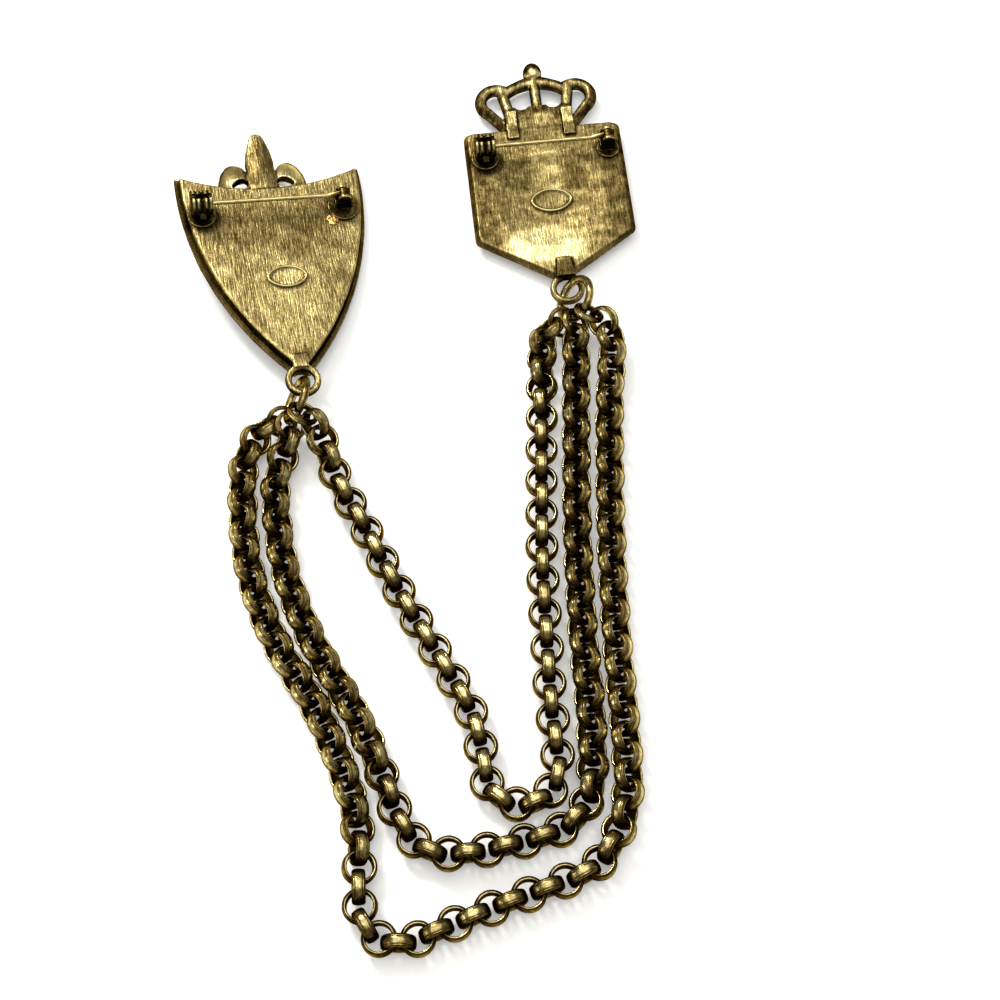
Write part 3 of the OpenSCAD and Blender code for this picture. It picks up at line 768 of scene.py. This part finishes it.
def findings(badge, node, name, material):
    """The catch's cheeks and the hinge's bracket with their discs, cut from the body's solid and kept
    crisp. The discs are a little paler than what stands on them, and the hinge's ears have a painted
    highlight on top."""
    for part, box in badge.findings(FINDING_ABOVE).items():
        cast = Cast(badge, node, FINDING_VOXEL, FINDING_ROUNDS, inside=box)
        up = cast.local[:, 2] - badge.back
        tones = 0.17 + STAMPED_WEAR_AND_SHADE * np.clip(cast.proud, *STAMPED_PROUD)
        tones += 0.14 * (1 - rise(up, 0.9, 1.4))
        if part == "catch":
            # Painted highlight on the ribs' crests
            tones += painted_rib_highlight(cast, badge)
        else:
            # Painted highlight on top of the hinge's ears
            tones += 0.4 * rise(up, 3.4, 4.1)
        cast.finish(f"{name}_{part}", tones, material, ROOT, node)


def ribbed_roller(badge, node, body, name, material):
    """The catch's turning roller: two ribs with painted highlights on their crests, and a thumb tab that is
    dark all over.
    """
    cast = Cast(badge, node, FINDING_VOXEL, FINDING_ROUNDS)
    tab = rise(badge.catch[1] - cast.local[:, 1], 2.2, 2.4)
    tones = 0.14 + STAMPED_WEAR_AND_SHADE * np.clip(cast.proud, *STAMPED_PROUD) * (1 - tab)
    # Painted highlight on the ribs' crests
    tones += painted_rib_highlight(cast, badge)
    cast.finish(name, tones, material, body, node)


# Lumps of the solder: how many fit across half of the drop, and how far they swell it
SOLDER_LUMPS = 2.2
SOLDER_SWELL = 0.35


def solder_lump(name, badge, middle, half, seed, material):
    """A frozen drop of solder, sunk in the plate."""
    shape = bmesh.new()
    bmesh.ops.create_icosphere(shape, subdivisions=4, radius=1.0)
    tones = []
    for vertex in shape.verts:
        lump = noise.noise(vertex.co * SOLDER_LUMPS + Vector((seed, 0, 0)))
        swell = 1 + SOLDER_SWELL * lump
        # Paler on its lumps' crests, and lighter towards its top as painted light from above
        tones.append(0.6 + 0.5 * lump + 0.2 * vertex.co.z)
        vertex.co = badge.at(*[m + s * swell * c for m, s, c in zip(middle, half, vertex.co)])
    data = bpy.data.meshes.new(name)
    shape.to_mesh(data)
    shape.free()
    set_layer(data, "tone", tones)
    new_piece(name, data, material, ROOT, None)


# The plaques' ovals come to blunt points at their ends: 0 would be an ellipse
PLAQUE_PULL = 0.2
# The border's bead: its radius, its height by that radius, how far its middle lies inside the oval, its
# tone, and its points along the oval and round the bead
BORDER_BEAD = 0.25
BORDER_HEIGHT = 1.2
BORDER_INSET = 0.12
BORDER_TONE = 0.86
BORDER_ROWS = 96
BORDER_AROUND = 10


def plaque_border(name, badge, place, size, material):
    """The raised thin border of a bare plaque, as a rounded bead that follows the oval."""
    wide, high = (side / 2 - BORDER_INSET for side in size)
    path = []
    for i in range(BORDER_ROWS):
        a = math.tau * i / BORDER_ROWS
        path.append(Vector((wide * math.cos(a), high * math.sin(a) * abs(math.sin(a)) ** PLAQUE_PULL, 0)))
    points = []
    for i in range(BORDER_ROWS):
        way = (path[(i + 1) % BORDER_ROWS] - path[i - 1]).normalized()
        out = Vector((way.y, -way.x, 0))
        for k in range(BORDER_AROUND):
            b = math.tau * k / BORDER_AROUND
            bead = out * math.cos(b) + Vector((0, 0, BORDER_HEIGHT * math.sin(b)))
            points.append(badge.at(*(Vector(place) + path[i] + BORDER_BEAD * bead)))
    data = hoop_mesh(name, points, [BORDER_TONE] * len(points), BORDER_AROUND, BORDER_ROWS)
    new_piece(name, data, material, ROOT, None)


# Chains: each solid link of a CAD strand gets a finer link in the same place

class LinkPlace:
    """Middle, axis, radius and width of one loose ring of a CAD mesh."""

    def __init__(self, points):
        middle = points.mean(0)
        _, _, rows = np.linalg.svd(points - middle, full_matrices=False)
        axis = rows[2]
        along = (points - middle) @ axis
        # The ring's reach in 24 directions gives its true middle, wherever its points are crowded
        turns = np.linspace(0, math.pi, 24, False)
        directions = [math.cos(turn) * rows[0] + math.sin(turn) * rows[1] for turn in turns]
        reach = [(points - middle) @ d for d in directions]
        shifts = np.array([(r.max() + r.min()) / 2 for r in reach])
        offset, *_ = np.linalg.lstsq(np.array(directions), shifts, rcond=None)
        self.middle = middle + offset - axis * (offset @ axis) + axis * (along.max() + along.min()) / 2
        self.axis = axis if axis[2] >= 0 else -axis
        self.width = along.max() - along.min()
        self.radius = max(r.max() - r.min() for r in reach) / 2


def loose_rings(node):
    """The places of the separate rings in a CAD node's mesh."""
    shape = bmesh.new()
    shape.from_mesh(nodes[node].data)
    bmesh.ops.remove_doubles(shape, verts=shape.verts, dist=0.001 * MM)
    shape.verts.ensure_lookup_table()
    seen = set()
    places = []
    for start in shape.verts:
        if start.index in seen:
            continue
        group = [start]
        seen.add(start.index)
        for vertex in group:
            for edge in vertex.link_edges:
                other = edge.other_vert(vertex)
                if other.index not in seen:
                    seen.add(other.index)
                    group.append(other)
        places.append(LinkPlace(np.array([v.co for v in group])))
    shape.free()
    return places


# Thickness of a link's band, distance between neighbouring links, rows of points round a link, and the map's
# step from row to row, all but the rows in millimetres
LINK_BAND = 0.79
LINK_PITCH = 3.2
LINK_ROWS = 40
ROW_MM = 0.47
# Step of the map named band across the section
SECTION_STEP = 0.2
# Half of a link's section, from the middle of its crown to the middle of its bore. Columns: share of the
# half width, millimetres in from the outside, and tone of the plate there
# The low tones in the groove, on the band's sides and in the bore are painted shade, and the pale lips of
# the bore are partly rubbing and partly painted highlight
LINK_SECTION = [(0.0, 0.0, 0.7), (0.28, 0.015, 0.66), (0.5, 0.05, 0.52), (0.58, 0.12, 0.12),
                (0.66, 0.07, 0.62), (0.78, 0.14, 0.4), (0.92, 0.3, 0.32), (0.99, 0.46, 0.4),
                (1.0, 0.53, 0.9), (0.97, 0.64, 0.85), (0.86, 0.75, 0.42), (0.68, LINK_BAND, 0.36),
                (0.0, LINK_BAND, 0.32)]
# Depths down to which the crown is polished and painted with a highlight and the outside has knocks, and
# the deepest knock
POLISH_AND_HIGHLIGHT_DEPTH = 0.1
KNOCK_DEPTH = 0.3
KNOCK = 0.03
# Tone that polish and a painted highlight add to a crown's middle, that painted shade takes off where links
# meet, by which links differ at random, and that the lower runs lose as painted shade, between two
# distances from the middle of the piece towards -Y
POLISH_AND_HIGHLIGHT = 0.17
LINK_PAINTED_SHADE = 0.36
LINK_TONE_SPREAD = 0.06
LOW_PAINTED_SHADE = 0.08
LOW_RUNS = (50, 70)
# Polish and painted highlight go and painted shade comes round a link, from its free middle, 0, to where
# its neighbour rubs, 1
POLISH_AND_HIGHLIGHT_GOES = (0.2, 0.45)
PAINTED_SHADE_COMES = (0.5, 0.9)


def belcher_strand(name, node, seed, material):
    """One chain, with every link turned and finished as its own ring of rolled band. Each link's first row
    of points lies towards its neighbour."""
    draw = random.Random(seed)
    links = loose_rings(node)
    middles = np.array([link.middle for link in links])
    section = LINK_SECTION + [(-share, drop, section_tone) for share, drop, section_tone in LINK_SECTION[-2:0:-1]]
    count = len(section)
    points, tones, band = [], [], []
    for link in links:
        gaps = np.linalg.norm(middles - link.middle, axis=1)
        first, second = np.argsort(gaps)[1:3]
        # The last link of a strand has one neighbour, so its next nearest is well over a pitch away
        run = middles[first] - (middles[second] if gaps[second] < 1.2 * LINK_PITCH * MM else link.middle)
        run -= link.axis * (run @ link.axis)
        run /= np.linalg.norm(run)
        side = np.cross(link.axis, run)
        half = link.width / 2
        # Links differ a little at random, and the lower runs are darkened by painted shade
        shade = draw.uniform(-LINK_TONE_SPREAD, LINK_TONE_SPREAD) - LOW_PAINTED_SHADE * rise(-link.middle[1] / MM, *LOW_RUNS)
        base = len(points)
        for i in range(LINK_ROWS):
            angle = math.tau * i / LINK_ROWS
            out = math.cos(angle) * run + math.sin(angle) * side
            rubbed = abs(math.cos(angle))
            # Painted shade where a neighbour overlaps the link, and polish with a painted highlight on its
            # free middle
            painted_shade = LINK_PAINTED_SHADE * rise(rubbed, *PAINTED_SHADE_COMES)
            polish_and_highlight = POLISH_AND_HIGHLIGHT * (1 - rise(rubbed, *POLISH_AND_HIGHLIGHT_GOES))
            knock = draw.uniform(0.0, KNOCK)
            for share, drop, section_tone in section:
                reach = link.radius - (drop + (knock if drop < KNOCK_DEPTH else 0.0)) * MM
                points.append(link.middle + out * reach + link.axis * half * share)
                tones.append(section_tone + shade - painted_shade + (polish_and_highlight if drop < POLISH_AND_HIGHLIGHT_DEPTH else 0.0))
            # Each link starts elsewhere on the map, so that no two have the same lines
            start, end = ROW_MM * i + base, ROW_MM * (i + 1) + base
            for k in range(count):
                low, high = k * SECTION_STEP, (k + 1) * SECTION_STEP
                band += [(start, low), (end, low), (end, high), (start, high)]
    data = hoop_mesh(name, points, tones, count, LINK_ROWS)
    data.uv_layers.new(name="band").data.foreach_set("uv", np.array(band).ravel())
    new_piece(name, data, material, ROOT, node)


# How much stouter the wire is than the CAD's, and how deep the seam cuts into it
RING_GROWTH = 0.06
SEAM_DEPTH = 0.16
# Steps round a jump ring, closer at its seam. Columns: degrees past the seam, how far the wire is pinched
RING_STEPS = [(0, 1.0), (0.9, 0.75), (1.8, 0.1)]
RING_STEPS += [(degrees, 0.0) for degrees in range(4, 357, 4)]
RING_STEPS += [(358.2, 0.1), (359.1, 0.75)]
WIRE_AROUND = 28
# Tones of a jump ring: its own, what the seam's grime takes off and what rubbing adds in its bore
RING_TONE = 0.58
SEAM_GRIME = 0.5
BORE_SHINE = 0.15


def jump_ring(name, node, seam, material):
    """A ring of round wire, butted where a groove crosses it, in the place of the CAD's ring. Its bore is
    rubbed paler than its outside."""
    data = nodes[node].data
    corners = np.empty(len(data.vertices) * 3)
    data.vertices.foreach_get("co", corners)
    place = LinkPlace(corners.reshape(-1, 3))
    wire = place.width / 2
    reach = place.radius - wire
    run = np.cross(place.axis, (0.0, 0.0, 1.0))
    run /= np.linalg.norm(run)
    side = np.cross(place.axis, run)
    points, tones = [], []
    for turn, pinch in RING_STEPS:
        angle = math.radians(turn + seam)
        out = math.cos(angle) * run + math.sin(angle) * side
        thick = wire + (RING_GROWTH - SEAM_DEPTH * pinch) * MM
        for k in range(WIRE_AROUND):
            b = math.tau * k / WIRE_AROUND
            across, along = thick * math.cos(b), thick * math.sin(b)
            points.append(place.middle + out * (reach + across) + place.axis * along)
            tones.append(RING_TONE - SEAM_GRIME * pinch - BORE_SHINE * min(math.cos(b), 0))
    data = hoop_mesh(name, points, tones, WIRE_AROUND, len(RING_STEPS))
    new_piece(name, data, material, ROOT, node)


photograph_camera()
studio()
table()

chain_gold = belcher_gold()
belcher_strand("inner_strand", "chain_inner", seed=3, material=chain_gold)
belcher_strand("middle_strand", "chain_middle", seed=5, material=chain_gold)
belcher_strand("outer_strand", "chain_outer", seed=8, material=chain_gold)
ring_wire = ring_gold()
jump_ring("shield_wire_ring", "shield_jump_ring", seam=200, material=ring_wire)
jump_ring("crown_wire_ring", "crown_jump_ring", seam=150, material=ring_wire)

shield_gold = linished_gold("linished_gold_shield", SHIELD, hair=0.17, smudge=0.09,
                            smudge_mm=(2.5, 3.0, 3.0))
crown_gold = linished_gold("linished_gold_crown", CROWN, hair=0.13, smudge=0.11,
                           smudge_mm=(3.0, 2.0, 3.0))
catch_metal = darkened_catch()
shield_casting(shield_gold)
crown_casting(crown_gold)
findings(SHIELD, "shield_body", "shield", catch_metal)
findings(CROWN, "crown_body", "crown", catch_metal)
ribbed_roller(SHIELD, "shield_catch_lever", "shield_roller", "shield_ribbed_roller", catch_metal)
ribbed_roller(CROWN, "crown_catch_lever", "crown_roller", "crown_ribbed_roller", catch_metal)
solder_lump("shield_solder", SHIELD, middle=(10.8, 32.3, SHIELD.back), half=(1.1, 1.4, 0.4), seed=4.0,
            material=soft_solder())
plaque_border("shield_plaque_border", SHIELD, place=(0, 20, SHIELD.back + 0.46), size=(7.5, 4.6),
              material=shield_gold)
plaque_border("crown_plaque_border", CROWN, place=(0, 18.6, CROWN.back + 0.01), size=(7.9, 5.1),
              material=crown_gold)
paint("shield_pin", pin_wire_gold("pale_gold_spring_wire_shield", SHIELD))
paint("crown_pin", pin_wire_gold("pale_gold_spring_wire_crown", CROWN))
